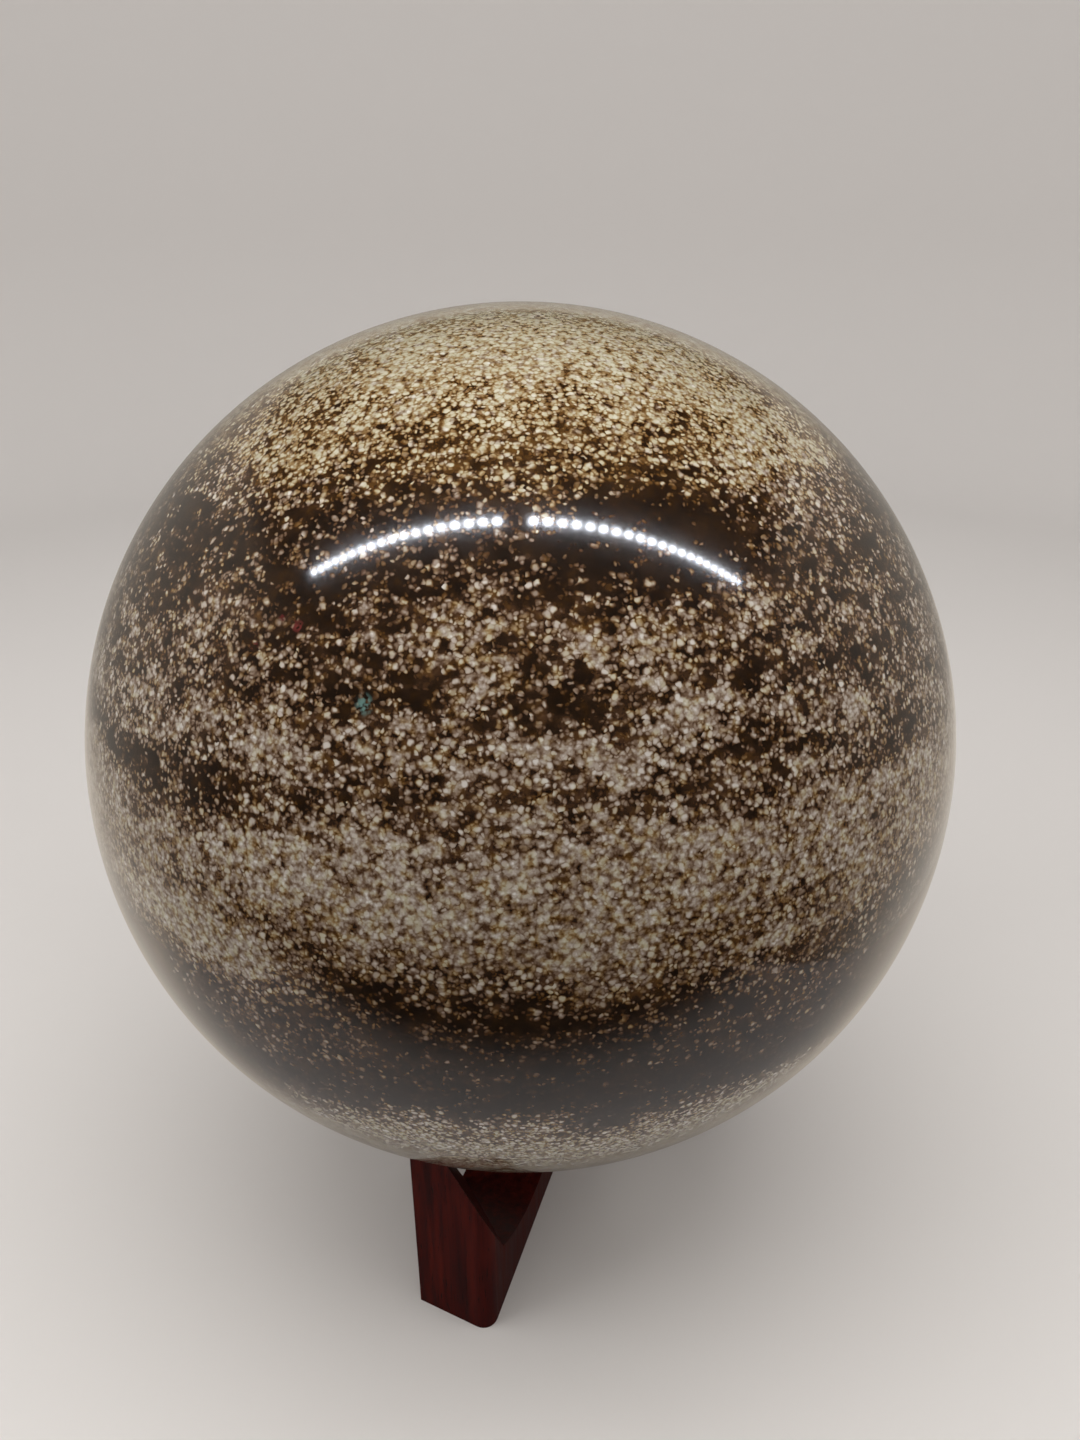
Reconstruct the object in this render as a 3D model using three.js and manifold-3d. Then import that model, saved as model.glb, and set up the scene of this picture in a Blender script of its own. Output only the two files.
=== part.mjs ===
// A polished ocean jasper ball on a three-legged wooden stand.
// Millimetres, +Z up. The origin is on the table, straight under the middle of the ball.
import * as THREE from "three";
import { mergeVertices } from "three/addons/utils/BufferGeometryUtils.js";
import Module from "manifold-3d";

// The ball
const BALL_RADIUS = 60;
const BALL_LIFT = 17; // clear height under the ball
const BALL_SPLITS = 16; // of each icosahedron edge, which gives faces about 4 mm wide

// The stand: three alike legs, each a low bar on the table with a post at its outer end
const LEG_AZIMUTHS = { front: 252, right: 12, left: 132 }; // degrees, counter-clockwise from +X
const LEG_SPACING = 120; // degrees
const LEG_WIDTH = 12;
const LEG_OFFSET = 2.7; // from the stand's axis to the middle of a leg's width
const FOOT_REACH = 40.7; // from the axis to the middle of the outer end
const FOOT_SKEW = 8; // degrees that the outer end is sawn off square
const FOOT_CORNER = 2.5; // radius of the softened upright corner
const BAR_HEIGHT = 6.6;
const HEEL_HEIGHT = 12.2; // of the bar where it meets the post
const HEEL_LENGTH = 4.8; // from the outer end to where the bar starts to fall
const HOLLOW_LENGTH = 16; // run of the hollow curve from the heel down to the bar

// The sloping saw cut that thins the post towards its outer left edge
const CUT_HEIGHT = 21.4; // at the outer right corner
const CUT_FALL_ACROSS = 1.77; // fall in height for each millimetre to the right
const CUT_FALL_INWARD = 1.94; // fall in height for each millimetre towards the axis

const JOINT_GAP = 0.3; // between pieces that touch
const SEAT_SPLITS = 24; // of the ball-shaped cutter that hollows each post's seat
const ARC_STEPS = 8;
const BALL_CENTRE_Z = BALL_LIFT + BALL_RADIUS;
const RIGHT_SIDE = LEG_OFFSET + LEG_WIDTH / 2;
const LEFT_SIDE = LEG_OFFSET - LEG_WIDTH / 2;
const PAST_AXIS = -LEG_WIDTH; // where a leg ends before its inner end is cut
const BEYOND = 4 * BALL_RADIUS; // a length that outreaches the whole object

const wasm = await Module();
wasm.setup();

// A closed geometry as a solid that can be cut.
function toSolid(geometry) {
  const bare = geometry.clone();
  bare.deleteAttribute("normal");
  bare.deleteAttribute("uv");
  const merged = mergeVertices(bare, 1e-4);
  const mesh = new wasm.Mesh({
    numProp: 3,
    vertProperties: new Float32Array(merged.attributes.position.array),
    triVerts: new Uint32Array(merged.index.array),
  });
  return new wasm.Manifold(mesh);
}

// A cut solid as a geometry again.
function toGeometry(solid) {
  const mesh = solid.getMesh();
  const geometry = new THREE.BufferGeometry();
  geometry.setAttribute("position", new THREE.BufferAttribute(mesh.vertProperties, 3));
  geometry.setIndex(new THREE.BufferAttribute(mesh.triVerts, 1));
  geometry.computeVertexNormals();
  return geometry;
}

// All that lies past a flat cut: a block with one face on the cut, reaching along outward.
function pastCut(point, outward) {
  const block = new THREE.BoxGeometry(BEYOND, BEYOND, BEYOND);
  block.translate(0, 0, BEYOND / 2);
  const turn = new THREE.Quaternion();
  turn.setFromUnitVectors(new THREE.Vector3(0, 0, 1), outward.clone().normalize());
  block.applyQuaternion(turn);
  block.translate(point.x, point.y, point.z);
  return toSolid(block);
}

// A leg's own frame has x outward from the axis, y to the right as seen from outside, and z up.

// The leg's outline from above, raised to the ball's middle: a skewed outer end with one soft corner.
function legColumn() {
  const skew = THREE.MathUtils.degToRad(FOOT_SKEW);
  const leftReach = FOOT_REACH - (LEG_WIDTH / 2) * Math.tan(skew);
  const endDistance = FOOT_REACH * Math.cos(skew) - LEG_OFFSET * Math.sin(skew);
  const cornerY = RIGHT_SIDE - FOOT_CORNER;
  const cornerX = (endDistance - FOOT_CORNER + cornerY * Math.sin(skew)) / Math.cos(skew);
  const plan = new THREE.Shape();
  plan.moveTo(PAST_AXIS, LEFT_SIDE);
  plan.lineTo(leftReach, LEFT_SIDE);
  plan.absarc(cornerX, cornerY, FOOT_CORNER, -skew, Math.PI / 2, false);
  plan.lineTo(PAST_AXIS, RIGHT_SIDE);
  plan.closePath();
  const options = { depth: BALL_CENTRE_Z, bevelEnabled: false, curveSegments: ARC_STEPS };
  return toSolid(new THREE.ExtrudeGeometry(plan, options));
}

// The low bar's outline from the side, with its hollow rise to the heel, drawn right across the leg.
function barSlab() {
  const heelX = FOOT_REACH - HEEL_LENGTH;
  const hollowX = heelX - HOLLOW_LENGTH;
  const side = new THREE.Shape();
  side.moveTo(2 * PAST_AXIS, 0);
  side.lineTo(FOOT_REACH + LEG_WIDTH, 0);
  side.lineTo(FOOT_REACH + LEG_WIDTH, HEEL_HEIGHT);
  side.lineTo(heelX, HEEL_HEIGHT);
  side.quadraticCurveTo((heelX + hollowX) / 2, BAR_HEIGHT, hollowX, BAR_HEIGHT);
  side.lineTo(2 * PAST_AXIS, BAR_HEIGHT);
  side.closePath();
  const slab = new THREE.ExtrudeGeometry(side, {
    depth: 2 * LEG_WIDTH,
    bevelEnabled: false,
    curveSegments: ARC_STEPS,
  });
  slab.rotateX(Math.PI / 2);
  slab.translate(0, LEG_OFFSET + LEG_WIDTH, 0);
  return toSolid(slab);
}

// One leg: the bar, the post thinned by its sloping cut, the inner end sawn to lie against the next
// leg's left side, and a seat hollowed to the ball.
function legGeometry() {
  const column = legColumn();
  const slope = new THREE.Vector3(-CUT_FALL_INWARD, CUT_FALL_ACROSS, 1);
  const post = column.subtract(pastCut(new THREE.Vector3(FOOT_REACH, RIGHT_SIDE, CUT_HEIGHT), slope));
  const bar = column.intersect(barSlab());
  const spacing = THREE.MathUtils.degToRad(LEG_SPACING);
  const nextRight = new THREE.Vector3(-Math.sin(spacing), Math.cos(spacing), 0);
  const joint = pastCut(nextRight.clone().multiplyScalar(LEFT_SIDE - JOINT_GAP), nextRight);
  const seat = new THREE.IcosahedronGeometry(BALL_RADIUS + JOINT_GAP, SEAT_SPLITS);
  seat.translate(0, 0, BALL_CENTRE_Z);
  return toGeometry(post.add(bar).subtract(joint).subtract(toSolid(seat)));
}

const jasper = new THREE.MeshStandardMaterial({ color: "#84715a", roughness: 0.08, metalness: 0 });
const redWood = { color: "#4b1a15", roughness: 0.3, metalness: 0 };

const part = new THREE.Group();

const ball = new THREE.Mesh(new THREE.IcosahedronGeometry(BALL_RADIUS, BALL_SPLITS), jasper);
ball.name = "jasper_sphere";
ball.position.z = BALL_CENTRE_Z;
part.add(ball);

const stand = new THREE.Group();
for (const [place, azimuth] of Object.entries(LEG_AZIMUTHS)) {
  const leg = new THREE.Mesh(legGeometry(), new THREE.MeshStandardMaterial(redWood));
  leg.name = `stand_leg_${place}`;
  leg.rotation.z = THREE.MathUtils.degToRad(azimuth);
  stand.add(leg);
}
part.add(stand);

export default part;
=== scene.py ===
# %% [markdown]
# # An ocean jasper ball on a three-legged wooden stand
#
# The stone is one solid ball, ground and polished, about 120 mm across. It only rests on its stand:
# three alike legs of red lacquered wood, each a low bar with a post at its outer end. The CAD frame
# already holds both at their real size, so this script adds the finish: a finer ball, softened wood
# edges, and materials with the detail of the real ones.

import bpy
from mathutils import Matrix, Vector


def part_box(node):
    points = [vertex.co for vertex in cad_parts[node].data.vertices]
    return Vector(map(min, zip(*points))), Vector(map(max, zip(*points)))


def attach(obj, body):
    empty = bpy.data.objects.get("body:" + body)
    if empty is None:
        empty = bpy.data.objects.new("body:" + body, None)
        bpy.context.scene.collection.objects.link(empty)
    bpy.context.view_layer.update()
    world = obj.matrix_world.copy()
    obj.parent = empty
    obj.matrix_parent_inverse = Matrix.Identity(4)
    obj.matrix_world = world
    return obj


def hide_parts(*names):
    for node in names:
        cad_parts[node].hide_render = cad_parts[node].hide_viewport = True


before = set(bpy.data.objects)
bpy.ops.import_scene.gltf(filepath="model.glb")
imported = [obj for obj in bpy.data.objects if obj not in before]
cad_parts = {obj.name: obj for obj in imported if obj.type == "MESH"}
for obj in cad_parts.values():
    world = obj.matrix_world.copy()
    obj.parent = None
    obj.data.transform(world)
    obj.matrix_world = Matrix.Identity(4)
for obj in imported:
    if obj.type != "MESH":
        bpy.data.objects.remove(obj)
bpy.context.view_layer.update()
print("CAD nodes:", sorted(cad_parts))

# %% [markdown]
# ## Helpers
#
# Sizes are easier to think of in millimetres, while Blender works in metres, so one factor joins the
# two. Colours are picked as sRGB hex values and turned to the linear values that a shader adds up.
# A single helper adds a node, sets it and links it, and hands back the output that the next node
# reads. That keeps a long material readable as a list of steps.

# %% Units, colours and nodes
import math

import bmesh
import bpy
from mathutils import Matrix, Vector, noise

MM = 0.001
MIX_FACTOR, MIX_A, MIX_B, MIX_RESULT = 0, 6, 7, 2  # the colour sockets of a Mix node


def linear(hex_colour):
    """An sRGB hex colour such as #c9b283 as linear red, green, blue and alpha."""
    channels = [int(hex_colour[i:i + 2], 16) / 255 for i in (1, 3, 5)]
    return [c / 12.92 if c <= 0.04045 else ((c + 0.055) / 1.055) ** 2.4 for c in channels] + [1]


def add_node(tree, kind, settings=None, inputs=None, output=0):
    """Adds a shader node, sets it, links or fills its inputs, and returns one of its outputs."""
    made = tree.nodes.new("ShaderNode" + kind)
    for name, value in (settings or {}).items():
        if name == "stops":
            stops = made.color_ramp.elements
            while len(stops) < len(value):
                stops.new(0.5)
            for stop, (position, colour) in zip(stops, value):
                stop.position = position
                stop.color = colour
        else:
            setattr(made, name, value)
    for name, value in (inputs or {}).items():
        if isinstance(value, bpy.types.NodeSocket):
            tree.links.new(value, made.inputs[name])
        else:
            made.inputs[name].default_value = value
    return made.outputs[output]


def new_material(name):
    """A material with nodes. Returns it, its tree and its Principled shader."""
    made = bpy.data.materials.new(name)
    made.use_nodes = True
    return made, made.node_tree, made.node_tree.nodes["Principled BSDF"]


print("middle grey, #808080, in linear light:", round(linear("#808080")[0], 3))

# %% [markdown]
# ## Camera
#
# The photograph looks down on the ball from close by, through a wide lens, so the ball swells and the
# stand shrinks away beneath it. The ball's outline gives the distance: it appears under 44 degrees
# across, which a sphere does from 2.67 radii. The camera comes first because everything after it is
# judged through it.

# %% Camera
IMAGE_HEIGHT = 1440  # pixels
LENS_PIXELS = 1080  # the focal length in the same pixels
SENSOR = 36  # mm along the longer side of the image
NEAREST = 5 * MM
CAMERA_PITCH = math.radians(27.5)
CAMERA_PLACE = Vector((2.5, -141.1, 152.9)) * MM

camera_data = bpy.data.cameras.new("camera")
camera_data.sensor_width = SENSOR
camera_data.lens = SENSOR * LENS_PIXELS / IMAGE_HEIGHT
camera_data.clip_start = NEAREST
camera = bpy.data.objects.new("camera", camera_data)
camera.location = CAMERA_PLACE
camera.rotation_euler = (math.pi / 2 - CAMERA_PITCH, 0, 0)
bpy.context.scene.collection.objects.link(camera)
bpy.context.scene.camera = camera
bpy.context.scene.view_settings.view_transform = "Standard"
print("lens", round(camera_data.lens, 1), "mm at", [round(v, 3) for v in camera.location])

# %% [markdown]
# ## Floor and backdrop
#
# Small things are shown on a sweep: a floor that curves up into a wall, so that no line shows behind
# the object. Spinning one profile round the vertical axis gives such a sweep on all sides, which
# also serves the views from the side and back. It is matt paper, whose fibres scatter nearly all the
# light, so it shows soft shade and no shine.

# %% Floor and backdrop
FLOOR_RADIUS = 420 * MM
COVE_RADIUS = 120 * MM
WALL_HEIGHT = 800 * MM
SWEEP_STEPS = 96
COVE_STEPS = 12
WELD_DISTANCE = 0.01 * MM
PAPER_WHITE = "#dddad8"
PAPER_ROUGHNESS = 0.9
PAPER_GLOSS = 0.1

paper, _, paper_shader = new_material("matt_white_paper")
paper_shader.inputs["Base Color"].default_value = linear(PAPER_WHITE)
paper_shader.inputs["Roughness"].default_value = PAPER_ROUGHNESS
paper_shader.inputs["Specular IOR Level"].default_value = PAPER_GLOSS


def stage_piece(name, bm, material, hidden_from=()):
    """Links a bmesh as a staged object, hidden from the named kinds of ray."""
    mesh = bpy.data.meshes.new(name)
    bm.to_mesh(mesh)
    bm.free()
    mesh.materials.append(material)
    made = bpy.data.objects.new(name, mesh)
    bpy.context.scene.collection.objects.link(made)
    for ray in hidden_from:
        setattr(made, "visible_" + ray, False)


bm = bmesh.new()
profile = [Vector((0, 0, 0)), Vector((FLOOR_RADIUS, 0, 0))]
for step in range(1, COVE_STEPS + 1):
    turn = math.pi / 2 * step / COVE_STEPS
    out = FLOOR_RADIUS + COVE_RADIUS * math.sin(turn)
    profile.append(Vector((out, 0, COVE_RADIUS * (1 - math.cos(turn)))))
profile.append(Vector((FLOOR_RADIUS + COVE_RADIUS, 0, WALL_HEIGHT)))
verts = [bm.verts.new(point) for point in profile]
edges = [bm.edges.new(pair) for pair in zip(verts, verts[1:])]
full_turn = {"cent": (0, 0, 0), "axis": (0, 0, 1), "angle": 2 * math.pi}
bmesh.ops.spin(bm, geom=verts + edges, steps=SWEEP_STEPS, use_merge=True, **full_turn)
bmesh.ops.remove_doubles(bm, verts=bm.verts, dist=WELD_DISTANCE)
inside = Vector((0, 0, WALL_HEIGHT))
for face in bm.faces:
    face.smooth = True
    if face.normal.dot(inside - face.calc_center_median()) < 0:
        face.normal_flip()
stage_piece("sweep", bm, paper, hidden_from=["glossy"])
print("sweep", round(2 * (FLOOR_RADIUS + COVE_RADIUS), 2), "m across")

# %% [markdown]
# ## What the polish mirrors
#
# A polished ball mirrors everything around it, so what it mirrors is chosen with care. Glowing cards
# stand to its left, right and back, with painted light that is brighter low down and fades at their
# top and front, and their dim image gives the ball its soft rim. The front and the top are left open
# and dark, which keeps its face clear. Below it mirrors a second floor, whose front part has
# half-shade painted into its colour. The cards and this floor only show in mirror images.

# %% Cards and mirrored floor
CARD_SIDE = 125 * MM
CARD_BACK = 190 * MM
CARD_FRONT = -135 * MM
CARD_TOP = 205 * MM
FLOOR_CLEARANCE = 0.05 * MM
FLOOR_FADE = 45 * MM
FLOOR_SHADE_FROM, FLOOR_SHADE_TO = -50 * MM, 10 * MM
CARD_WHITE = "#fff4e6"
CARD_GLOW = ((0.0, 0.60), (0.18, 0.56), (0.32, 0.33), (0.45, 0.30), (1.0, 0.36))  # share of height, glow
CARD_FADE = 30 * MM
CARD_DIM_FROM, CARD_DIM_TO = -95 * MM, 5 * MM
SHADED_FLOOR, LIT_FLOOR = "#9a9898", "#ccc4ba"
UNSEEN_BY = ["camera", "diffuse", "shadow", "transmission"]  # all kinds of ray but mirrored ones


def glowing(name, colour):
    """A material that only glows. Returns it, its tree and its light, whose strength is still to be set."""
    material, tree, shader = new_material(name)
    tree.nodes.remove(shader)
    light = add_node(tree, "Emission", None, {"Color": linear(colour)})
    tree.links.new(light, tree.nodes["Material Output"].inputs["Surface"])
    return material, tree, light.node


# These cards glow though no lamp lights them: their glow is painted light, brighter low down and fading at
# the top and towards the front.
glowing_card, card_tree, card_light = glowing("glowing_card", CARD_WHITE)
card_place = add_node(card_tree, "TexCoord", None, None, "Object")
_, card_y, card_z = add_node(card_tree, "SeparateXYZ", None, {0: card_place}).node.outputs
risen = add_node(card_tree, "MapRange", None, {"Value": card_z, "From Max": CARD_TOP})
glow_stops = [(share, (glow, glow, glow, 1)) for share, glow in CARD_GLOW]
glow = add_node(card_tree, "ValToRGB", {"stops": glow_stops}, {0: risen})
top_edge = {"Value": card_z, "From Min": CARD_TOP, "From Max": CARD_TOP - CARD_FADE}
front_part = {"Value": card_y, "From Min": CARD_DIM_FROM, "From Max": CARD_DIM_TO}
for edge in (top_edge, front_part):
    soft = add_node(card_tree, "MapRange", {"interpolation_type": "SMOOTHSTEP"}, edge)
    glow = add_node(card_tree, "Math", {"operation": "MULTIPLY"}, {0: glow, 1: soft})
card_tree.links.new(glow, card_light.inputs["Strength"])


def upright_card(name, first, last):
    """A card that stands on the floor between two points."""
    bm = bmesh.new()
    foot = [bm.verts.new((*first, 0)), bm.verts.new((*last, 0))]
    risen = bmesh.ops.extrude_edge_only(bm, edges=[bm.edges.new(foot)])
    lifted = [item for item in risen["geom"] if isinstance(item, bmesh.types.BMVert)]
    bmesh.ops.translate(bm, vec=(0, 0, CARD_TOP), verts=lifted)
    stage_piece(name, bm, glowing_card, hidden_from=UNSEEN_BY)


left, right = -CARD_SIDE, CARD_SIDE
upright_card("card_left", (left, CARD_FRONT), (left, CARD_BACK))
upright_card("card_right", (right, CARD_FRONT), (right, CARD_BACK))
upright_card("card_back", (left, CARD_BACK), (right, CARD_BACK))

fading, fading_tree, fading_shader = new_material("shaded_paper")
floor_place = add_node(fading_tree, "TexCoord", None, None, "Object")
forward = add_node(fading_tree, "SeparateXYZ", None, {0: floor_place}, "Y")
fade = {"Value": forward, "From Min": CARD_FRONT, "From Max": CARD_FRONT + FLOOR_FADE}
solid = add_node(fading_tree, "MapRange", {"interpolation_type": "SMOOTHSTEP"}, fade)
# The floor's front part is darker by half-shade painted into its colour, not by the lamps.
shade = {"Value": forward, "From Min": FLOOR_SHADE_FROM, "From Max": FLOOR_SHADE_TO}
lit = add_node(fading_tree, "MapRange", {"interpolation_type": "SMOOTHSTEP"}, shade)
papers = {MIX_FACTOR: lit, MIX_A: linear(SHADED_FLOOR), MIX_B: linear(LIT_FLOOR)}
paper_colour = add_node(fading_tree, "Mix", {"data_type": "RGBA"}, papers, MIX_RESULT)
fading_tree.links.new(paper_colour, fading_shader.inputs["Base Color"])
fading_tree.links.new(solid, fading_shader.inputs["Alpha"])

bm = bmesh.new()
corners = [(left, CARD_FRONT), (right, CARD_FRONT), (right, CARD_BACK), (left, CARD_BACK)]
bm.faces.new([bm.verts.new((x, y, FLOOR_CLEARANCE)) for x, y in corners])
stage_piece("mirrored_floor", bm, fading, hidden_from=UNSEEN_BY)
print("cards", round(CARD_TOP / MM), "mm high")

# %% [markdown]
# ## Light
#
# Polished stone shows its lamps as sharply as its own pattern. The real ball mirrors two rows of small
# lamps, end to end, high above its front. Small glowing discs that only mirror rays can see give those
# two dotted arcs. The light that falls on the stone itself comes from wide area lamps, which are
# smooth and free of noise. One of them, long and thin, gives the light of the two rows. The air around
# adds a weak even glow.

# %% Lamps that the polish mirrors
LAMP_HEIGHT = 206 * MM
LAMP_FORWARD = -55 * MM
LAMP_RADIUS = 1.8 * MM
LAMP_SPACING = 6 * MM
LAMP_ROWS = ((-9, -1, 18), (6, 1, 21))  # start in mm, direction and count of each row
LAMP_STRENGTH = 90
LAMP_CORNERS = 16
LAMP_WHITE = "#eef4ff"

lamp_glow, _, lamp_light = glowing("lamp_glow", LAMP_WHITE)
lamp_light.inputs["Strength"].default_value = LAMP_STRENGTH
bm = bmesh.new()
for start, direction, lamps in LAMP_ROWS:
    for count in range(lamps):
        across = start * MM + direction * count * LAMP_SPACING
        place = Matrix.Translation((across, LAMP_FORWARD, LAMP_HEIGHT))
        disc = {"segments": LAMP_CORNERS, "radius": LAMP_RADIUS, "matrix": place}
        bmesh.ops.create_circle(bm, cap_ends=True, **disc)
stage_piece("lamp_rows", bm, lamp_glow, hidden_from=["camera", "diffuse", "shadow"])

# %% Lamps that light the object
STUDIO_WHITE = "#fffefc"
AIR_WHITE = "#fbf9f6"
AIR_GLOW = 0.12
AREA_LAMPS = {  # place, size and aim in mm
    "overhead": {"place": (0, -20, 700), "size": (700, 700), "watts": 2.1, "aim": (0, -20, 0)},
    "rows": {"place": (0, -55, 206), "size": (230, 12), "watts": 0.12, "aim": (0, -55, 0)},
    "left": {"place": (-330, -90, 330), "size": (260, 260), "watts": 0.56, "aim": (0, 0, 60)},
    "right": {"place": (330, -90, 330), "size": (260, 260), "watts": 0.43, "aim": (0, 0, 60)},
}
for name, lamp in AREA_LAMPS.items():
    light = bpy.data.lights.new(name, "AREA")
    light.shape = "RECTANGLE"
    light.size = lamp["size"][0] * MM
    light.size_y = lamp["size"][1] * MM
    light.energy = lamp["watts"]
    light.color = linear(STUDIO_WHITE)[:3]
    holder = bpy.data.objects.new(name, light)
    holder.location = Vector(lamp["place"]) * MM
    beam = Vector(lamp["aim"]) - Vector(lamp["place"])
    holder.rotation_euler = beam.to_track_quat("-Z", "Y").to_euler()
    holder.visible_glossy = False
    holder.visible_camera = False
    bpy.context.scene.collection.objects.link(holder)

world = bpy.data.worlds.new("soft_air")
bpy.context.scene.world = world
world.use_nodes = True
world.node_tree.nodes["Background"].inputs["Color"].default_value = linear(AIR_WHITE)
world.node_tree.nodes["Background"].inputs["Strength"].default_value = AIR_GLOW
world.cycles_visibility.glossy = False
print("lamps:", sum(row[2] for row in LAMP_ROWS), "mirrored and", len(AREA_LAMPS), "wide ones")

# %% [markdown]
# ## The ball
#
# A stone ball is sawn from rough, ground between rotating cups until it is round, and polished with
# ever finer grit. An icosphere is the natural start, because its triangles are all about the same
# size and it has no poles where a mirror image would pinch. Hand-fed cups leave the ball a few
# hundredths of a millimetre out of round, which makes a mirrored lamp row waver a little, so each
# vertex moves in or out by that much along a slow noise.

# %% Ball mesh
BALL_SUBDIVISIONS = 7
GRINDING_WAVE = 26 * MM
GRINDING_DEPTH = 0.02 * MM

ball_low, ball_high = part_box("jasper_sphere")
BALL_CENTRE = (ball_low + ball_high) / 2
BALL_RADIUS = min(ball_high - ball_low) / 2

bm = bmesh.new()
place = Matrix.Translation(BALL_CENTRE)
round_radius = BALL_RADIUS - GRINDING_DEPTH
bmesh.ops.create_icosphere(bm, subdivisions=BALL_SUBDIVISIONS, radius=round_radius, matrix=place)
for vert in bm.verts:
    out = (vert.co - BALL_CENTRE).normalized()
    vert.co += out * GRINDING_DEPTH * noise.noise(vert.co / GRINDING_WAVE)
for face in bm.faces:
    face.smooth = True
ball_mesh = bpy.data.meshes.new("polished_jasper_ball")
bm.to_mesh(ball_mesh)
bm.free()
ball = bpy.data.objects.new("polished_jasper_ball", ball_mesh)
bpy.context.scene.collection.objects.link(ball)
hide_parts("jasper_sphere")
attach(ball, "root")
print("ball radius", round(BALL_RADIUS / MM, 2), "mm,", len(ball_mesh.polygons), "faces")

# %% [markdown]
# ## Ocean jasper
#
# Ocean jasper is a chalcedony that grew round countless tiny grains. This piece is a sandy kind: cream
# grains about a millimetre wide in a nearly black-brown ground, laid down in uneven beds. Each bed has
# its own share of grains, so the ball shows bands. The pattern runs right through the stone and the
# surface merely cuts it, so every texture here is a solid, three-dimensional one on object
# coordinates.
#
# First comes the height in the beds. The beds dip a little and bow, and noise of three sizes frays
# their borders.

# %% Height in the beds
BED_DIP = (-0.038, -0.026, 1.0)  # the way that is up in the beds
BED_BOW = (0.036, 0.221, 0.0)  # added to it at the top of the ball, and taken off at the foot
FRAYS = ((26, 0.08), (8, 0.045), (3, 0.03))  # size in mm, depth in ball radii


def place_in_ball(tree):
    """The shaded point in metres, and again counted from the ball's middle in ball radii."""
    place = add_node(tree, "TexCoord", None, None, "Object")
    from_middle = {0: place, 1: BALL_CENTRE}
    offset = add_node(tree, "VectorMath", {"operation": "SUBTRACT"}, from_middle)
    scale = {"Vector": offset, "Scale": 1 / BALL_RADIUS}
    return place, add_node(tree, "VectorMath", {"operation": "SCALE"}, scale)


def bed_height(tree, place, unit):
    """Height in the beds, from about -1 at the ball's foot to 1 at its top."""
    dot = {"operation": "DOT_PRODUCT"}
    dipped = add_node(tree, "VectorMath", dot, {0: unit, 1: BED_DIP}, "Value")
    bow = add_node(tree, "VectorMath", dot, {0: unit, 1: BED_BOW}, "Value")
    upward = add_node(tree, "SeparateXYZ", None, {0: unit}, "Z")
    height = add_node(tree, "Math", {"operation": "MULTIPLY_ADD"}, {0: bow, 1: upward, 2: dipped})
    for size, depth in FRAYS:
        detail = {"Vector": place, "Scale": 1 / (size * MM), "Detail": 2.0}
        rough = add_node(tree, "TexNoise", {"noise_dimensions": "3D"}, detail)
        centred = add_node(tree, "Math", {"operation": "SUBTRACT"}, {0: rough, 1: 0.5})
        add = {0: centred, 1: 2 * depth, 2: height}
        height = add_node(tree, "Math", {"operation": "MULTIPLY_ADD"}, add)
    return height


# %% [markdown]
# A colour ramp along that height is the recipe of the beds, from the foot of the ball to its top. Its
# red channel says how many grains there are, the green one how clumped they lie, the blue one how
# golden they are, and alpha how pale. The values were judged bed by bed. Beds that the
# photograph can't show, on the far side and underneath, go on in the same manner.

# %% Recipe of the beds
BEDS = (  # height, share of grains, clumping, warmth, paleness
    (-1.00, 0.76, 0.30, 0.60, 0.46),
    (-0.84, 0.84, 0.25, 0.55, 0.46),
    (-0.74, 0.30, 0.45, 0.50, 0.38),
    (-0.66, 0.66, 0.50, 0.45, 0.42),
    (-0.56, 0.96, 0.20, 0.65, 0.88),
    (-0.29, 1.04, 0.15, 0.60, 1.00),
    (-0.24, 0.66, 0.20, 0.38, 0.74),
    (-0.19, 0.04, 0.22, 0.00, 0.04),
    (-0.12, 0.04, 0.16, 0.00, 0.00),
    (-0.05, 0.12, 0.28, 0.00, 0.12),
    (0.00, 0.10, 0.25, 0.20, 0.22),
    (0.04, 0.08, 0.25, 0.25, 0.32),
    (0.08, 0.66, 0.25, 0.30, 0.36),
    (0.14, 0.96, 0.20, 0.30, 0.36),
    (0.24, 0.98, 0.35, 0.15, 0.39),
    (0.29, 0.74, 0.60, 0.15, 0.46),
    (0.325, 0.36, 0.60, 0.15, 0.49),
    (0.36, 0.75, 0.60, 0.08, 0.50),
    (0.40, 0.88, 0.55, 0.08, 0.52),
    (0.44, 0.46, 0.80, 0.12, 0.47),
    (0.50, 0.52, 0.75, 0.18, 0.44),
    (0.56, 0.36, 0.60, 0.22, 0.46),
    (0.61, 0.15, 0.45, 0.12, 0.47),
    (0.67, 0.12, 0.35, 0.36, 0.58),
    (0.705, 0.40, 0.38, 0.90, 0.59),
    (0.76, 0.58, 0.48, 1.00, 0.60),
    (0.85, 0.98, 0.18, 1.00, 0.64),
    (1.00, 1.06, 0.08, 1.00, 0.66),
)


def bed_recipe(tree, height):
    """Share of grains, clumping, warmth and paleness of the bed at that height, as four sockets."""
    span = {"Value": height, "From Min": -1.0, "From Max": 1.0}
    along = add_node(tree, "MapRange", None, span)
    stops = [((bed[0] + 1) / 2, bed[1:]) for bed in BEDS]
    ramp = add_node(tree, "ValToRGB", {"stops": stops}, {0: along})
    parts = add_node(tree, "SeparateColor", None, {0: ramp}).node.outputs
    return parts["Red"], parts["Green"], parts["Blue"], ramp.node.outputs["Alpha"]


print("stops in the recipe:", len(BEDS))
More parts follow.
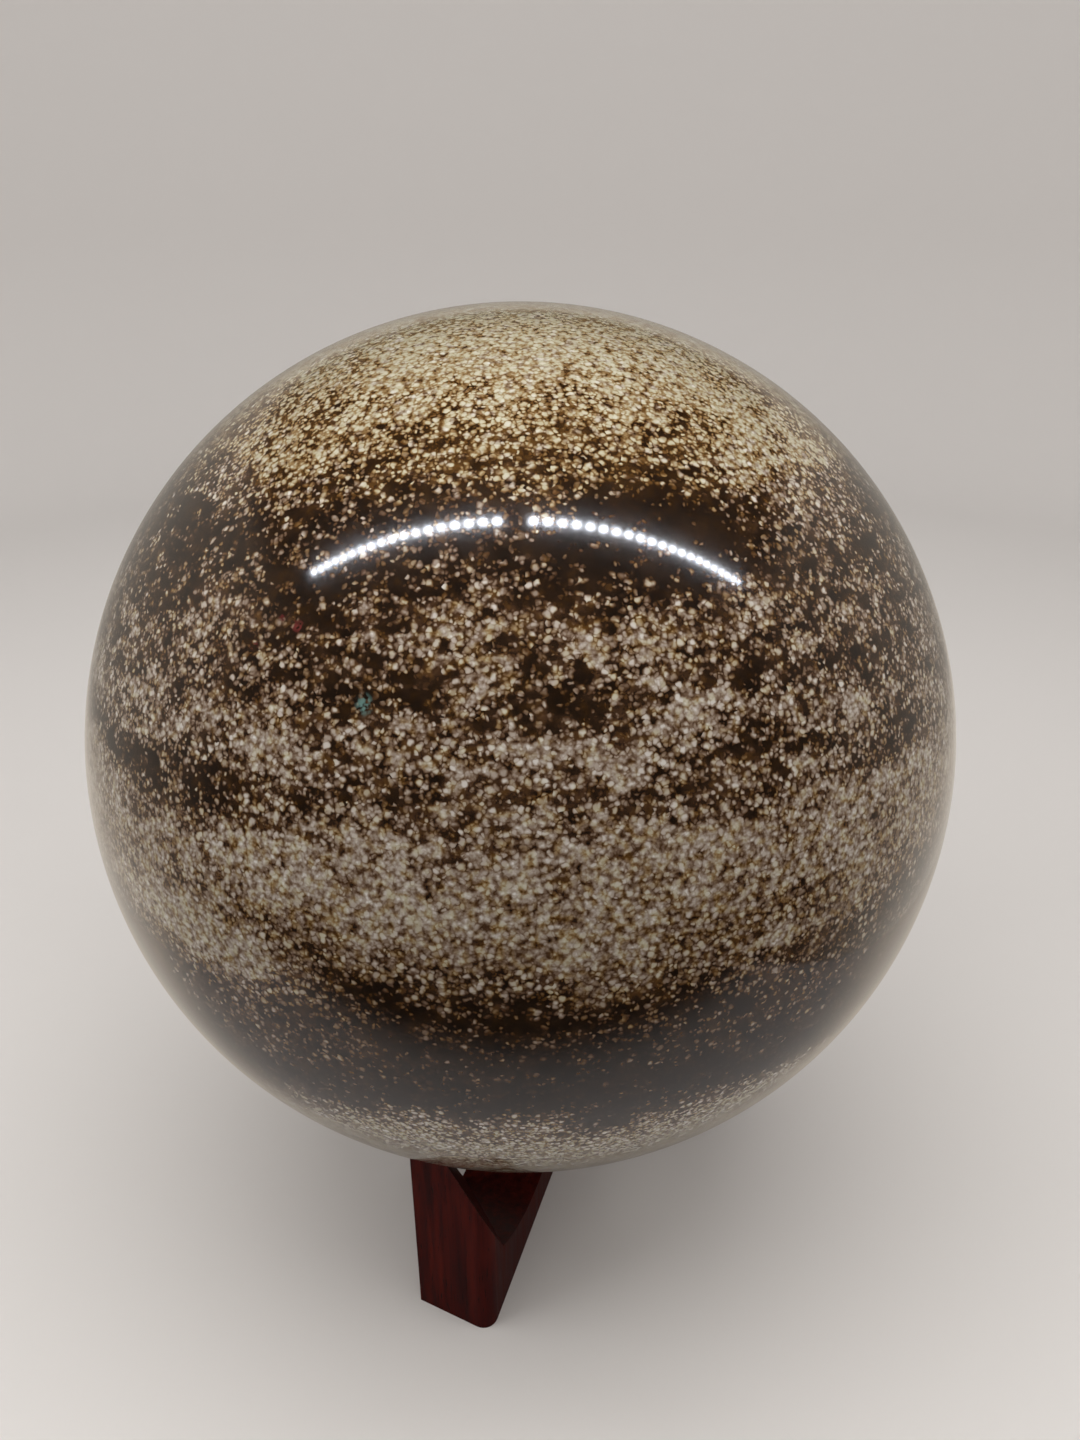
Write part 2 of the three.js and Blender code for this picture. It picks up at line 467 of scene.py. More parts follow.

# %% [markdown]
# Within a bed the grains drifted into pockets and patches. Most come from noise of two sizes. The
# large ones that give this ball its face are placed one by one, as soft-edged lumps in the stone. Each
# has a place in degrees, to the right of the front and above the middle, half its size in millimetres
# along each axis, and a change in the share of grains.

# %% Patches placed one by one
PATCHES = {
    "dark shoulder, left": {"turn": -42, "rise": 38, "size": (24, 24, 7), "change": -0.16},
    "dark shoulder, right": {"turn": 48, "rise": 36, "size": (16, 16, 6), "change": -0.12},
    "golden shoulder, left": {"turn": -46, "rise": 51, "size": (12, 12, 6), "change": 0.36},
    "golden shoulder, right": {"turn": 52, "rise": 49.5, "size": (16, 16, 7), "change": 0.56},
    "dark notch, right": {"turn": 20, "rise": 46, "size": (14, 14, 6), "change": -0.35},
    "pale drift, middle": {"turn": -2, "rise": 36.5, "size": (10, 10, 5), "change": 0.28},
    "pale drift, low middle": {"turn": 4, "rise": 24, "size": (12, 12, 4), "change": 0.16},
    "pale drift, right": {"turn": 15.5, "rise": 35.5, "size": (9, 9, 7), "change": 0.18},
    "pale knot, right": {"turn": 16.5, "rise": 30, "size": (7, 7, 4), "change": 0.14},
    "pale knot, left": {"turn": -24, "rise": 24, "size": (6, 6, 3), "change": 0.25},
    "pale knot, low": {"turn": -14.5, "rise": 18, "size": (5, 5, 2.5), "change": 0.25},
    "pale wedge, right": {"turn": 40, "rise": 24.8, "size": (8, 8, 2.5), "change": 0.30},
    "dark pocket, high left": {"turn": -27, "rise": 36.5, "size": (8, 8, 4), "change": -0.26},
    "dark pocket, left": {"turn": -22, "rise": 30, "size": (6, 6, 7), "change": -0.30},
    "dark pocket, right": {"turn": 28.5, "rise": 28, "size": (7, 7, 4), "change": -0.32},
    "dark pocket, low right": {"turn": 23.5, "rise": 19.8, "size": (7, 7, 2.4), "change": -0.35},
    "dark seam, middle": {"turn": 0, "rise": 31, "size": (24, 24, 3.5), "change": -0.24},
    "dark streak, left": {"turn": -44, "rise": 17.5, "size": (20, 20, 2.6), "change": -0.42},
    "dark streak, right": {"turn": 50, "rise": 28, "size": (16, 16, 2.4), "change": -0.34},
    "dark streak, low right": {"turn": 47, "rise": 19.8, "size": (13, 13, 2.6), "change": -0.42},
    "pale drift, low left": {"turn": -38, "rise": 1, "size": (24, 24, 5), "change": 0.55},
    "pale drift, low right": {"turn": 30, "rise": 3, "size": (15, 15, 4.5), "change": 0.45},
    "specks, low left": {"turn": -30, "rise": -7, "size": (20, 20, 9), "change": 0.30},
    "specks, low right": {"turn": 37, "rise": -5, "size": (18, 18, 9), "change": 0.24},
}
LUMP_RIM, LUMP_CORE = 1.25, 0.35  # where a lump has faded out and where it is full, in half sizes
CLUMPS = ((7.0, 0.9), (2.1, 1.6))  # size in mm and strength
CLUMP_FLATNESS = 1.6
SHARE_LIMIT = 1.06


def lump(tree, unit, turn, rise, size, strength):
    """A soft-edged lump in the stone: strength inside, fading to 0 outside."""
    turn, rise = math.radians(turn), math.radians(rise)
    front = -math.cos(turn) * math.cos(rise)
    middle = (math.sin(turn) * math.cos(rise), front, math.sin(rise))
    reach = [BALL_RADIUS / (half * MM) for half in size]
    shrink = {"Location": [-m * r for m, r in zip(middle, reach)], "Scale": reach}
    shifted = add_node(tree, "Mapping", None, {"Vector": unit, **shrink})
    away = add_node(tree, "VectorMath", {"operation": "LENGTH"}, {0: shifted}, "Value")
    fade = {"Value": away, "From Min": LUMP_RIM, "From Max": LUMP_CORE, "To Max": strength}
    return add_node(tree, "MapRange", {"interpolation_type": "SMOOTHSTEP"}, fade)


def share_of_grains(tree, place, unit, grains, clumps):
    """The share of grains at a point: that of its bed, with clumps and the placed patches."""
    flat = {"Vector": place, "Scale": (1, 1, CLUMP_FLATNESS)}
    pressed = add_node(tree, "Mapping", None, flat)
    share = grains
    for size, strength in CLUMPS:
        cloud = {"Vector": pressed, "Scale": 1 / (size * MM), "Detail": 1.0}
        lumps = add_node(tree, "TexNoise", {"noise_dimensions": "3D"}, cloud)
        centred = add_node(tree, "Math", {"operation": "SUBTRACT"}, {0: lumps, 1: 0.5})
        swing = add_node(tree, "Math", {"operation": "MULTIPLY"}, {0: centred, 1: clumps})
        add = {0: swing, 1: 2 * strength, 2: share}
        share = add_node(tree, "Math", {"operation": "MULTIPLY_ADD"}, add)
    for patch in PATCHES.values():
        amount = lump(tree, unit, patch["turn"], patch["rise"], patch["size"], patch["change"])
        share = add_node(tree, "Math", {"operation": "ADD"}, {0: share, 1: amount})
    return add_node(tree, "Math", {"operation": "MINIMUM"}, {0: share, 1: SHARE_LIMIT})


print("patches placed:", len(PATCHES))

# %% [markdown]
# The grains are the cells of a Voronoi texture, which a noise of about their own size pushes out of
# their plain round shape. A cut through such a solid pattern shows grains at every width up to the
# full one, as a sawn stone does: those whose middle lies off the cut show small and dim. Each cell has
# a random number, and the grain is there when that number is below the share of grains. Past that the
# grains don't stop at once but get dimmer, so dim grains lie between the clear ones. A second number
# sets how pale a grain is, and the paleness of the bed is added to that. A large and a small kind of
# cell together give the mix of grain sizes. Each kind has its cell and its offset in millimetres, the
# factor and the addition that turn the share into a chance, and the range of its paleness.

# %% Single grains
GRAIN_SETS = (
    {"cell": 0.80, "offset": 0.0, "chance": (1.25, -0.16), "tone": (0.24, 0.60)},
    {"cell": 0.52, "offset": 3.7, "chance": (0.92, 0.03), "tone": (0.13, 0.48)},
)
GRAIN_MIDDLE, GRAIN_RIM = 0.20, 0.72  # distance from the cell's point, in cells
BED_PALENESS = 0.54
PRESENCE_FADE, PRESENCE_FULL = -0.38, 0.12  # margins at which a grain is gone and is full
WARP_SIZE = 0.7  # mm
WARP_DEPTH = 0.32  # mm


def single_grains(tree, place, share, paleness):
    """The paleness of the grains that are there, and how far inside its cell a point lies."""
    wave = {"Vector": place, "Scale": 1 / (WARP_SIZE * MM), "Detail": 1.0}
    push = add_node(tree, "TexNoise", {"noise_dimensions": "3D"}, wave, "Color")
    depth = {0: push, 1: [2 * WARP_DEPTH * MM] * 3, 2: place}
    warped = add_node(tree, "VectorMath", {"operation": "MULTIPLY_ADD"}, depth)
    pale, inwards = 0.0, []
    for grains in GRAIN_SETS:
        moved = {"Vector": warped, "Location": [grains["offset"] * MM] * 3}
        shifted = add_node(tree, "Mapping", None, moved)
        cells = {"Vector": shifted, "Scale": 1 / (grains["cell"] * MM)}
        distance = add_node(tree, "TexVoronoi", {"feature": "F1"}, cells, "Distance")
        chance = add_node(tree, "SeparateColor", None, {0: distance.node.outputs["Color"]})
        inside = {"Value": distance, "From Min": GRAIN_RIM, "From Max": GRAIN_MIDDLE}
        body = add_node(tree, "MapRange", {"interpolation_type": "SMOOTHSTEP"}, inside)
        factor, start = grains["chance"]
        kept = {0: share, 1: factor, 2: start}
        likely = add_node(tree, "Math", {"operation": "MULTIPLY_ADD"}, kept)
        margin = add_node(tree, "Math", {"operation": "SUBTRACT"}, {0: likely, 1: chance})
        there = {"Value": margin, "From Min": PRESENCE_FADE, "From Max": PRESENCE_FULL}
        present = add_node(tree, "MapRange", {"interpolation_type": "SMOOTHSTEP"}, there)
        shade = {"Value": chance.node.outputs["Green"]}
        shade["To Min"], shade["To Max"] = grains["tone"]
        own = add_node(tree, "MapRange", None, shade)
        lifted = {0: paleness, 1: BED_PALENESS, 2: own}
        own = add_node(tree, "Math", {"operation": "MULTIPLY_ADD"}, lifted)
        shown = add_node(tree, "Math", {"operation": "MULTIPLY"}, {0: present, 1: own})
        seen = add_node(tree, "Math", {"operation": "MULTIPLY"}, {0: body, 1: shown})
        pale = add_node(tree, "Math", {"operation": "MAXIMUM"}, {0: pale, 1: seen})
        inwards.append(add_node(tree, "Math", {"operation": "SUBTRACT"}, {0: 1.0, 1: distance}))
    return pale, add_node(tree, "Math", {"operation": "ADD"}, {0: inwards[0], 1: inwards[1]})


# %% [markdown]
# Where grains are many they merge into one pale mass, and only dark pits are left between them. That
# mass is a second field from the same cells: how far inside its cells a point lies, made uneven by a
# fine noise, and lifted as a whole by the share of grains.

# %% Merged grains
MASS_FROM, MASS_TO = 0.45, 1.0  # shares of grains between which the mass rises
MASS_LOW, MASS_HIGH = -0.18, 0.46  # its mean paleness at those shares
MASS_CONTRAST = 0.42  # how much paler the middle of a cell is, for each cell width inwards
INWARD_MEAN = 0.90  # the mean of both kinds of cell together
RIPPLE_SIZE = 0.45  # mm
RIPPLE = 0.70  # between the darkest and the palest of the fine noise


def merged_grains(tree, place, share, inward):
    """The paleness of the mass that crowded grains merge into."""
    rise = {"From Min": MASS_FROM, "From Max": MASS_TO, "To Min": MASS_LOW, "To Max": MASS_HIGH}
    level = add_node(tree, "MapRange", {"clamp": False}, {"Value": share, **rise})
    added = MASS_CONTRAST * INWARD_MEAN + RIPPLE / 2  # what cells and ripple add on average
    lowered = add_node(tree, "Math", {"operation": "SUBTRACT"}, {0: level, 1: added})
    cells = {0: inward, 1: MASS_CONTRAST, 2: lowered}
    mass = add_node(tree, "Math", {"operation": "MULTIPLY_ADD"}, cells)
    waves = {"Vector": place, "Scale": 1 / (RIPPLE_SIZE * MM), "Detail": 1.0}
    noisy = add_node(tree, "TexNoise", {"noise_dimensions": "3D"}, waves)
    return add_node(tree, "Math", {"operation": "MULTIPLY_ADD"}, {0: noisy, 1: RIPPLE, 2: mass})


# %% [markdown]
# The ground between the grains isn't even. Where grains are near, it has amber stains a few
# millimetres wide, faintly mottled, and far from any grain it is nearly plain. What shows in the end
# is the palest of three fields: the single grains, the merged grains and the ground.

# %% Stained ground
STAIN_SIZE = 3.0  # mm
STAIN_NEAR, STAIN_FULL = 0.10, 0.60  # shares of grains between which the stains get paler
STAIN_FAINT, STAIN_STRONG = 0.05, 0.22  # their paleness at those shares
STAIN_RIM, STAIN_CORE = 0.38, 0.64  # values of the noise where a stain starts and is full
MOTTLE_SIZE = 0.6  # mm
MOTTLE_DARK, MOTTLE_PALE = 0.20, 0.66  # values of the noise that count as darkest and palest


def stained_ground(tree, place, share):
    """The paleness of the ground between the grains."""
    reach = {"From Min": STAIN_NEAR, "From Max": STAIN_FULL, "To Min": STAIN_FAINT}
    depth = add_node(tree, "MapRange", None, {"Value": share, "To Max": STAIN_STRONG, **reach})
    slow = {"Vector": place, "Scale": 1 / (STAIN_SIZE * MM), "Detail": 1.0}
    soaked = add_node(tree, "TexNoise", {"noise_dimensions": "3D"}, slow)
    spread = {"Value": soaked, "From Min": STAIN_RIM, "From Max": STAIN_CORE, "To Max": depth}
    stain = add_node(tree, "MapRange", None, spread)
    clouds = {"Vector": place, "Scale": 1 / (MOTTLE_SIZE * MM), "Detail": 2.0}
    cloudy = add_node(tree, "TexNoise", {"noise_dimensions": "3D"}, clouds)
    mottle = {"Value": cloudy, "From Min": MOTTLE_DARK, "From Max": MOTTLE_PALE, "To Max": stain}
    return add_node(tree, "MapRange", None, mottle)


def grain_field(tree, place, share, paleness):
    """0 in the bare ground, up to 1 in the middle of the palest grains."""
    pale, inward = single_grains(tree, place, share, paleness)
    mass = merged_grains(tree, place, share, inward)
    palest = add_node(tree, "Math", {"operation": "MAXIMUM"}, {0: pale, 1: mass})
    ground = stained_ground(tree, place, share)
    return add_node(tree, "Math", {"operation": "MAXIMUM"}, {0: palest, 1: ground})


# %% [markdown]
# Colour follows the grain field. The ground is brown nearly to black, the rim of a grain glows amber
# where light passes through it, and its middle is chalky. Golden beds and grey-pink beds have a ramp
# each, and the bed's warmth mixes the two. The warmth also drifts from grain to grain, so that some
# golden grains lie among the grey ones.

# %% Colour
GOLDEN_GRAIN = ((0.0, "#20140a"), (0.2, "#53381a"), (0.42, "#816a48"), (0.64, "#a09a83"), (1.0, "#b6b2a3"))
GREY_GRAIN = ((0.0, "#1a120c"), (0.2, "#432e1e"), (0.42, "#6e5c4d"), (0.68, "#9a9086"), (1.0, "#cbc9c5"))
HUE_DRIFT = 2.6  # of the warmth, between the ends of the noise
HUE_SIZE = 0.9  # mm


def grain_colour(tree, place, field, gold):
    """The stone's colour from the grain field and the bed's warmth, which drifts from grain to grain."""
    drift = {"Vector": place, "Scale": 1 / (HUE_SIZE * MM), "Detail": 0.0}
    hue = add_node(tree, "TexNoise", {"noise_dimensions": "3D"}, drift)
    centred = add_node(tree, "Math", {"operation": "SUBTRACT"}, {0: hue, 1: 0.5})
    drifted = {0: centred, 1: HUE_DRIFT, 2: gold}
    gold = add_node(tree, "Math", {"operation": "MULTIPLY_ADD"}, drifted)
    ramps = []
    for stops in (GREY_GRAIN, GOLDEN_GRAIN):
        steps = [(position, linear(colour)) for position, colour in stops]
        ramps.append(add_node(tree, "ValToRGB", {"stops": steps}, {0: field}))
    blend = {MIX_FACTOR: gold, MIX_A: ramps[0], MIX_B: ramps[1]}
    return add_node(tree, "Mix", {"data_type": "RGBA"}, blend, MIX_RESULT)


# %% [markdown]
# A few grains are of another kind: one small streak is teal and three specks are rust red. They are
# lumps like the patches, one to two millimetres across, that tint what lies there, most of all in their
# middle. A fine noise breaks each one into ragged bits.

# %% Coloured grains
TINTS = {
    "teal streak": {"turn": -15.8, "rise": 30.1, "size": (0.9, 0.9, 1.2), "tint": ("#5b7a75", 0.8)},
    "red speck, small": {"turn": -28.3, "rise": 36.7, "size": (0.5, 0.5, 0.4), "tint": ("#4d1d1b", 0.9)},
    "red speck, large": {"turn": -25.9, "rise": 36.2, "size": (0.8, 0.8, 0.6), "tint": ("#5f2826", 0.9)},
    "red speck, left": {"turn": -31.1, "rise": 33.5, "size": (0.6, 0.6, 0.5), "tint": ("#4f201e", 0.9)},
}
RAG_SIZE = 0.5  # mm
RAG_HOLE, RAG_WHOLE = 0.42, 0.58  # values of the noise where a tint is torn away and is whole


def tinted(tree, place, unit, colour):
    """The stone's colour with the few coloured grains in it."""
    rags = {"Vector": place, "Scale": 1 / (RAG_SIZE * MM), "Detail": 1.0}
    torn = add_node(tree, "TexNoise", {"noise_dimensions": "3D"}, rags)
    left_over = {"Value": torn, "From Min": RAG_HOLE, "From Max": RAG_WHOLE}
    ragged = add_node(tree, "MapRange", None, left_over)
    for grain in TINTS.values():
        tint, strength = grain["tint"]
        amount = lump(tree, unit, grain["turn"], grain["rise"], grain["size"], strength)
        amount = add_node(tree, "Math", {"operation": "MULTIPLY"}, {0: amount, 1: ragged})
        blend = {MIX_FACTOR: amount, MIX_A: colour, MIX_B: linear(tint)}
        colour = add_node(tree, "Mix", {"data_type": "RGBA"}, blend, MIX_RESULT)
    return colour


print("coloured grains:", len(TINTS))

# %% [markdown]
# The polish makes the ball a mirror with the index of quartz, 1.54. It isn't perfect. Between the
# grains are pores finer than the eye can part, which scatter some light into a haze round each mirrored
# lamp. So the shader has two glosses: the coat is the sharp polish, and under it the stone's own gloss
# is wide and weak. Its roughness wavers from pore to pore, drawn larger than the real ones so that it
# shows.

# %% Polish
QUARTZ_IOR = 1.54
POLISH_ROUGHNESS = 0.085
HAZE_STRENGTH = 0.085
PORE_SIZE = 0.25  # mm
PORE_FROM, PORE_TO = 0.35, 0.65  # values of the noise that count as closed and as open pores
HAZE_LOW, HAZE_HIGH = 0.155, 0.215  # roughness there


def ocean_jasper():
    """Polished sandy ocean jasper."""
    material, tree, shader = new_material("polished_ocean_jasper")
    place, unit = place_in_ball(tree)
    height = bed_height(tree, place, unit)
    grains, clumps, gold, paleness = bed_recipe(tree, height)
    share = share_of_grains(tree, place, unit, grains, clumps)
    field = grain_field(tree, place, share, paleness)
    colour = tinted(tree, place, unit, grain_colour(tree, place, field, gold))
    pores = {"Vector": place, "Scale": 1 / (PORE_SIZE * MM), "Detail": 1.0}
    speckle = add_node(tree, "TexNoise", {"noise_dimensions": "3D"}, pores)
    haze = {"From Min": PORE_FROM, "From Max": PORE_TO, "To Min": HAZE_LOW, "To Max": HAZE_HIGH}
    roughness = add_node(tree, "MapRange", None, {"Value": speckle, **haze})
    tree.links.new(colour, shader.inputs["Base Color"])
    tree.links.new(roughness, shader.inputs["Roughness"])
    shader.inputs["IOR"].default_value = QUARTZ_IOR
    shader.inputs["Specular IOR Level"].default_value = HAZE_STRENGTH
    shader.inputs["Coat Weight"].default_value = 1.0
    shader.inputs["Coat Roughness"].default_value = POLISH_ROUGHNESS
    shader.inputs["Coat IOR"].default_value = QUARTZ_IOR
    return material


ball_mesh.materials.append(ocean_jasper())
print("stone nodes:", len(ball_mesh.materials[0].node_tree.nodes))

# %% [markdown]
# ## The legs
#
# Each leg is sawn from a board 12 mm thick: a block whose outer end is cut slightly askew, with a
# notch that leaves the low bar and the thin post. The notch has a hollow curve at the bar and a
# sloping cut at the post. The same cuts make it here: a block is cut by planes, the notch is taken out
# by a boolean, and the edges are bevelled as sandpaper does it. Only then is the seat hollowed, so
# that the ball beds on a crisp surface. The sizes are those of the CAD legs.

# %% Leg dimensions
LEG_TURNS = {"front": 252, "right": 12, "left": 132}  # degrees round the stand's axis, from +X
LEG_WIDTH = 12 * MM
LEG_LEFT = -3.3 * MM  # the left side, counted to the right from the stand's axis
FOOT_REACH = 40.7 * MM
FOOT_SKEW = math.radians(8)
FOOT_CORNER = 2.5 * MM
BAR_HEIGHT = 6.6 * MM
HEEL_HEIGHT = 12.2 * MM
HEEL_LENGTH = 4.8 * MM
HOLLOW_LENGTH = 16 * MM
CUT_HEIGHT = 21.4 * MM
CUT_SLOPE = Vector((-1.94, 1.77, 1))
JOINT_ANGLE = math.radians(120)
JOINT_GAP = 0.3 * MM
EDGE_SOFTNESS = 0.7 * MM
CORNER_SEGMENTS, EDGE_SEGMENTS = 8, 4
HOLLOW_STEPS = 14
LEG_RIGHT = LEG_LEFT + LEG_WIDTH
BLOCK_HEIGHT = 38 * MM
BLOCK_INNER = -12 * MM

print("leg", round(LEG_WIDTH / MM, 1), "mm thick, reaching", round(FOOT_REACH / MM, 1), "mm")


# %% Saw cuts and rounded edges
def cut_away(bm, point, outward):
    """Saws off everything beyond a plane and closes the cut."""
    geometry = list(bm.verts) + list(bm.edges) + list(bm.faces)
    sawn = bmesh.ops.bisect_plane(
        bm, geom=geometry, plane_co=point, plane_no=outward, clear_outer=True
    )
    rim = [item for item in sawn["geom_cut"] if isinstance(item, bmesh.types.BMEdge)]
    bmesh.ops.edgeloop_fill(bm, edges=rim)


def bevel_edges(bm, edges, offset, segments):
    """Rounds the given edges over."""
    bmesh.ops.bevel(
        bm,
        geom=edges,
        offset=offset,
        offset_type="OFFSET",
        affect="EDGES",
        segments=segments,
        profile=0.5,
        material=-1,
        clamp_overlap=True,
    )


# %% Sawn block
def leg_block():
    """The sawn blank, with its skewed end, its joint face and one soft upright corner."""
    bm = bmesh.new()
    bmesh.ops.create_cube(bm, size=1)
    length = FOOT_REACH + LEG_WIDTH - BLOCK_INNER
    bmesh.ops.scale(bm, vec=(length, LEG_WIDTH, BLOCK_HEIGHT), verts=bm.verts)
    middle = Vector((BLOCK_INNER + length / 2, (LEG_LEFT + LEG_RIGHT) / 2, BLOCK_HEIGHT / 2))
    bmesh.ops.translate(bm, vec=middle, verts=bm.verts)
    end_normal = Vector((math.cos(FOOT_SKEW), -math.sin(FOOT_SKEW), 0))
    cut_away(bm, Vector((FOOT_REACH, middle.y, 0)), end_normal)
    next_leg = Vector((-math.sin(JOINT_ANGLE), math.cos(JOINT_ANGLE), 0))
    cut_away(bm, next_leg * (LEG_LEFT - JOINT_GAP), next_leg)
    corner = [e for e in bm.edges if min(v.co.x for v in e.verts) > FOOT_REACH]
    bevel_edges(bm, corner, FOOT_CORNER, CORNER_SEGMENTS)
    return bm


# %% Notch
def leg_notch():
    """What is sawn out above the bar, beside the post."""
    bm = bmesh.new()
    heel_x = FOOT_REACH - HEEL_LENGTH
    hollow_x = heel_x - HOLLOW_LENGTH
    outline = [(2 * BLOCK_INNER, BAR_HEIGHT), (hollow_x, BAR_HEIGHT)]
    for step in range(1, HOLLOW_STEPS + 1):
        along = step / HOLLOW_STEPS
        rise = (HEEL_HEIGHT - BAR_HEIGHT) * along ** 2
        outline.append((hollow_x + HOLLOW_LENGTH * along, BAR_HEIGHT + rise))
    outline.append((FOOT_REACH + LEG_WIDTH, HEEL_HEIGHT))
    outline.append((FOOT_REACH + LEG_WIDTH, 2 * BLOCK_HEIGHT))
    outline.append((2 * BLOCK_INNER, 2 * BLOCK_HEIGHT))
    face = bm.faces.new([bm.verts.new((x, LEG_LEFT - LEG_WIDTH, z)) for x, z in outline])
    pushed = bmesh.ops.extrude_face_region(bm, geom=[face])
    moved = [item for item in pushed["geom"] if isinstance(item, bmesh.types.BMVert)]
    bmesh.ops.translate(bm, vec=(0, 3 * LEG_WIDTH, 0), verts=moved)
    bmesh.ops.recalc_face_normals(bm, faces=bm.faces)
    cut_away(bm, Vector((FOOT_REACH, LEG_RIGHT, CUT_HEIGHT)), -CUT_SLOPE)
    return bm


# %% Booleans on a bmesh
def subtract(bm, cutter_bm):
    """bm with cutter_bm taken out of it, as a new bmesh."""
    made = []
    for name, source in (("blank", bm), ("cutter", cutter_bm)):
        mesh = bpy.data.meshes.new(name)
        source.to_mesh(mesh)
        source.free()
        made.append(bpy.data.objects.new(name, mesh))
        bpy.context.scene.collection.objects.link(made[-1])
    blank, cutter = made
    boolean = blank.modifiers.new("cut", "BOOLEAN")
    boolean.object = cutter
    boolean.operation = "DIFFERENCE"
    boolean.solver = "EXACT"
    seen = blank.evaluated_get(bpy.context.evaluated_depsgraph_get())
    result = bmesh.new()
    result.from_mesh(seen.to_mesh())
    for item in made:
        bpy.data.objects.remove(item)
    return result


# %% Finished leg
SEAT_SUBDIVISIONS = 6
FLAT_ANGLE = math.radians(1)
SHARP_ANGLE = math.radians(32)


def leg_bmesh():
    """One finished leg in its own frame: x outward, y to the right seen from outside, z up."""
    bm = subtract(leg_block(), leg_notch())
    bmesh.ops.dissolve_limit(bm, angle_limit=FLAT_ANGLE, verts=bm.verts, edges=bm.edges)
    top = BLOCK_HEIGHT - EDGE_SOFTNESS  # the edges above it stay, because the seat takes them away
    low = [e for e in bm.edges if min(v.co.z for v in e.verts) < top]
    sharp = [e for e in low if e.calc_face_angle(0) > SHARP_ANGLE]
    bevel_edges(bm, sharp, EDGE_SOFTNESS, EDGE_SEGMENTS)
    seat = bmesh.new()
    place = Matrix.Translation(BALL_CENTRE)
    radius = BALL_RADIUS + JOINT_GAP
    bmesh.ops.create_icosphere(seat, subdivisions=SEAT_SUBDIVISIONS, radius=radius, matrix=place)
    return subtract(bm, seat)


leg_shape = leg_bmesh()
print("leg faces:", len(leg_shape.faces), "closed:", all(e.is_manifold for e in leg_shape.edges))

# %% [markdown]
# ## Red lacquered wood
#
# The legs are a plain hardwood, stained deep red-brown and brushed with a thin, rather matt lacquer. The
# grain runs up the post: streaks about a millimetre wide and many times as long, and fine pores that
# took more stain and that the lacquer hasn't quite filled. A noise that is stretched upward draws each.
# A Mapping node first turns the pattern to the leg's own direction, so that the same board seems to
# have given every leg.

# %% Red lacquered wood
STREAK_WIDTH = 1.1  # mm
STREAK_STRETCH = 14
STREAK_BEND = 0.4
STREAK_DARK, STREAK_PALE = 0.3, 0.7  # values of the noise on dark streaks and on pale ones
GRAIN_PORE_WIDTH = 0.30  # mm
GRAIN_PORE_STRETCH = 9
GRAIN_PORE_RIM, GRAIN_PORE_CORE = 0.62, 0.72  # values of the noise where a pore starts and is full
GRAIN_PORE_DEPTH = 0.05 * MM
PORE_RELIEF = 0.15  # share of that depth that the lacquer leaves open
LACQUER_GLOSS = 0.06
LACQUER_SMOOTH, LACQUER_ROUGH = 0.38, 0.50  # roughness on those streaks
WOOD_STAIN = ((0.25, "#250504"), (0.50, "#390a06"), (0.75, "#4e130a"))
PORE_STAIN = "#160504"


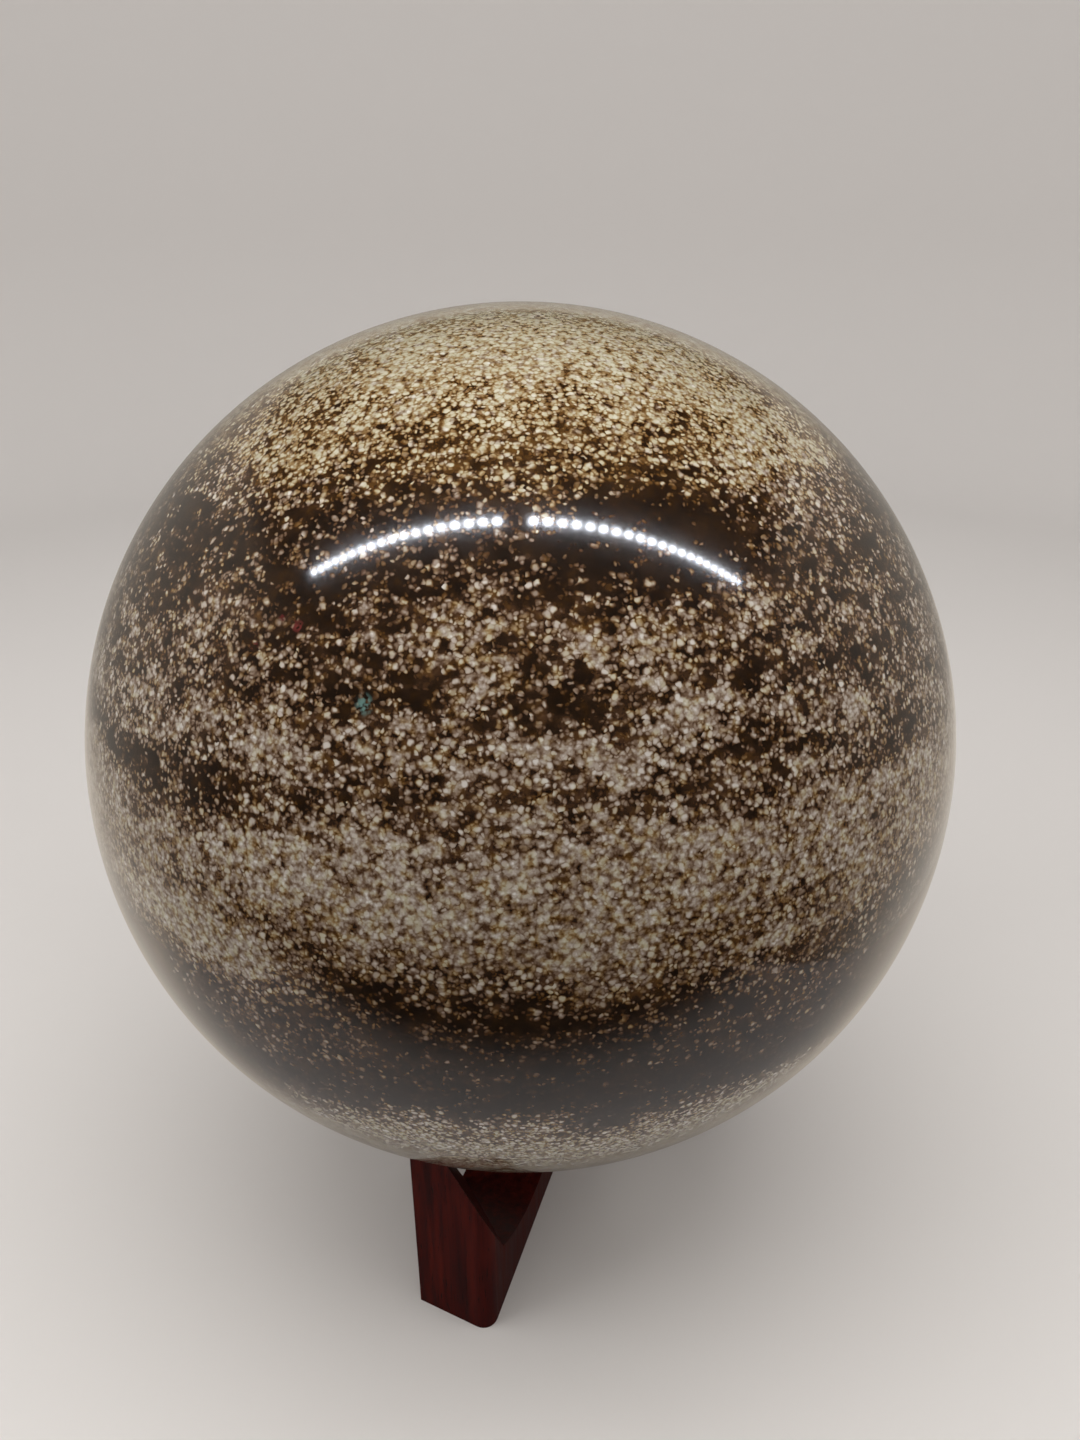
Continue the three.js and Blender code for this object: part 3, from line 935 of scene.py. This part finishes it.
def lacquered_wood(name, turn):
    """Red-stained, lacquered wood with upright grain, turned as its leg is."""
    material, tree, shader = new_material("red_lacquered_wood_" + name)
    place = add_node(tree, "TexCoord", None, None, "Object")
    back = {"Vector": place, "Rotation": (0, 0, -math.radians(turn))}
    own = add_node(tree, "Mapping", None, back)
    streak_scale = 1 / (STREAK_WIDTH * MM)
    along = {"Vector": own, "Scale": (streak_scale, streak_scale, streak_scale / STREAK_STRETCH)}
    streak_place = add_node(tree, "Mapping", None, along)
    wavy = {"Vector": streak_place, "Scale": 1.0, "Detail": 4.0, "Distortion": STREAK_BEND}
    streaks = add_node(tree, "TexNoise", None, wavy)
    stops = [(position, linear(colour)) for position, colour in WOOD_STAIN]
    stain = add_node(tree, "ValToRGB", {"stops": stops}, {0: streaks})
    pore_scale = 1 / (GRAIN_PORE_WIDTH * MM)
    fine = {"Vector": own, "Scale": (pore_scale, pore_scale, pore_scale / GRAIN_PORE_STRETCH)}
    pore_place = add_node(tree, "Mapping", None, fine)
    pores = add_node(tree, "TexNoise", None, {"Vector": pore_place, "Scale": 1.0, "Detail": 2.0})
    dips = {"Value": pores, "From Min": GRAIN_PORE_RIM, "From Max": GRAIN_PORE_CORE}
    pore_mask = add_node(tree, "MapRange", None, dips)
    darkened = {MIX_FACTOR: pore_mask, MIX_A: stain, MIX_B: linear(PORE_STAIN)}
    colour = add_node(tree, "Mix", {"data_type": "RGBA"}, darkened, MIX_RESULT)
    gloss = {"From Min": STREAK_DARK, "From Max": STREAK_PALE}
    gloss["To Min"], gloss["To Max"] = LACQUER_SMOOTH, LACQUER_ROUGH
    roughness = add_node(tree, "MapRange", None, {"Value": streaks, **gloss})
    relief = {"Height": pore_mask, "Strength": PORE_RELIEF, "Distance": GRAIN_PORE_DEPTH}
    bump = add_node(tree, "Bump", {"invert": True}, relief)
    tree.links.new(colour, shader.inputs["Base Color"])
    tree.links.new(roughness, shader.inputs["Roughness"])
    tree.links.new(bump, shader.inputs["Normal"])
    shader.inputs["Specular IOR Level"].default_value = LACQUER_GLOSS
    return material


# %% Place the legs
for name, turn in LEG_TURNS.items():
    bm = leg_shape.copy()
    bmesh.ops.rotate(bm, matrix=Matrix.Rotation(math.radians(turn), 3, "Z"), verts=bm.verts)
    for edge in bm.edges:
        edge.smooth = edge.calc_face_angle(0) < SHARP_ANGLE
    for face in bm.faces:
        face.smooth = True
    mesh = bpy.data.meshes.new("lacquered_leg_" + name)
    bm.to_mesh(mesh)
    bm.free()
    mesh.materials.append(lacquered_wood(name, turn))
    leg = bpy.data.objects.new("lacquered_leg_" + name, mesh)
    bpy.context.scene.collection.objects.link(leg)
    weigh = leg.modifiers.new("even_shading", "WEIGHTED_NORMAL")
    weigh.keep_sharp = True
    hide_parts("stand_leg_" + name)
    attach(leg, "root")
leg_shape.free()
print("legs placed:", len(LEG_TURNS))
